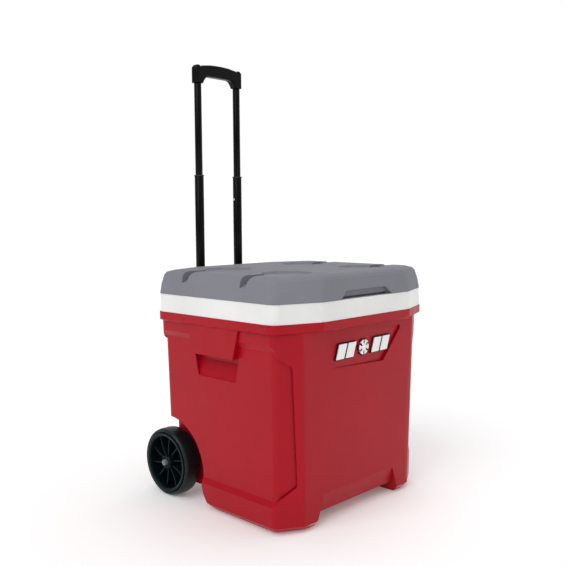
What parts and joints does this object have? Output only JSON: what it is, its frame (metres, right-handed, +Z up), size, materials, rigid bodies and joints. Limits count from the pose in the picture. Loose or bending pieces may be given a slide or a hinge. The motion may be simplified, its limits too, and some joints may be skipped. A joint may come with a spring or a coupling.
{
  "type": "wheeled cooler",
  "caption": "Insulated picnic cooler on wheels with a hinged lid, side grips and a telescoping tow handle.",
  "frame": {"origin": "under the middle of the whole object, on the floor it stands on", "axes": "+Z up; -Y towards the badge side, which is the front; +Y towards the tow handle; X across, along the axle"},
  "size_m": [0.51, 0.502, 1.027],
  "materials": {
    "red_shell": "satin",
    "white_liner": "satin",
    "foam": "matte",
    "grey_lid": "satin",
    "white_badge": "gloss",
    "black_plastic": "satin",
    "grip_black": "gloss",
    "black_tube": "gloss",
    "steel": "satin",
    "hinge_grey": "satin",
    "bracket_grey": "satin",
    "wheel_dark": "satin",
    "tread_dark": "matte",
    "cap_grey": "satin",
    "drain_white": "satin",
    "seal_rubber": "matte"
  },
  "bodies": {
    "body": {"shell": "red_shell", "liner": "white_liner", "shell_foam": "foam", "emblem": "white_badge", "axle": "steel", "tow_bracket_top": "black_plastic", "tow_bracket_low": "black_plastic", "tow_bracket_screws": "steel", "axle_bracket_screws": "steel", "hinge_base_screws": "steel", "drain_spout": "drain_white", "drain_seal": "seal_rubber", "drain_nut": "drain_white", "axle_bracket_left": "bracket_grey", "axle_washer_left": "steel", "axle_cap_left": "cap_grey", "tow_sleeve_left": "black_tube", "tow_guide_left": "black_plastic", "hinge_base_left": "hinge_grey", "hinge_pin_left": "steel", "axle_bracket_right": "bracket_grey", "axle_washer_right": "steel", "axle_cap_right": "cap_grey", "tow_sleeve_right": "black_tube", "tow_guide_right": "black_plastic", "hinge_base_right": "hinge_grey", "hinge_pin_right": "steel"},
    "lid": {"lid_shell": "grey_lid", "lid_liner": "white_liner", "lid_foam": "foam", "hinge_leaf_left": "hinge_grey", "hinge_leaf_right": "hinge_grey", "hinge_leaf_screws": "steel"},
    "tow_middle": {"tow_tube_mid_left": "black_tube", "tow_slider_mid_left": "black_plastic", "tow_collar_left": "black_plastic", "tow_tube_mid_right": "black_tube", "tow_slider_mid_right": "black_plastic", "tow_collar_right": "black_plastic"},
    "tow_top": {"grip": "grip_black", "grip_screws": "steel", "tow_tube_inner_left": "black_tube", "tow_slider_inner_left": "black_plastic", "tow_tube_inner_right": "black_tube", "tow_slider_inner_right": "black_plastic"},
    "snap_left": {"snap_button_left": "steel"},
    "snap_right": {"snap_button_right": "steel"},
    "wheel_left_body": {"wheel_left": "wheel_dark", "tread_left": "tread_dark"},
    "wheel_right_body": {"wheel_right": "wheel_dark", "tread_right": "tread_dark"},
    "drain_cap_body": {"drain_cap": "drain_white"}
  },
  "joints": [
    {"name": "lid_hinge", "type": "hinge", "parent": "body", "child": "lid", "pos_m": [0, 0.202, 0.512], "axis": [-1, 0, 0], "range_deg": [0, 90]},
    {"name": "tow_lower_slide", "type": "slide", "parent": "body", "child": "tow_middle", "axis": [0, 0, 1], "range_m": [-0.292, 0]},
    {"name": "tow_upper_slide", "type": "slide", "parent": "tow_middle", "child": "tow_top", "axis": [0, 0, 1], "range_m": [-0.222, 0]},
    {"name": "snap_left_press", "type": "slide", "parent": "tow_middle", "child": "snap_left", "axis": [-1, 0, 0], "range_m": [0, 0.0025], "stiffness_N_per_m": 300, "springref_m": -0.001},
    {"name": "snap_right_press", "type": "slide", "parent": "tow_middle", "child": "snap_right", "axis": [1, 0, 0], "range_m": [0, 0.0025], "stiffness_N_per_m": 300, "springref_m": -0.001},
    {"name": "wheel_left_spin", "type": "hinge", "parent": "body", "child": "wheel_left_body", "pos_m": [0, 0.161, 0.0785], "axis": [1, 0, 0], "continuous": true},
    {"name": "wheel_right_spin", "type": "hinge", "parent": "body", "child": "wheel_right_body", "pos_m": [0, 0.161, 0.0785], "axis": [1, 0, 0], "continuous": true},
    {"name": "drain_cap_turn", "type": "hinge", "parent": "body", "child": "drain_cap_body", "pos_m": [0.06, 0.135, 0.06], "axis": [0, 1, 0], "range_deg": [0, 360]}
  ]
}
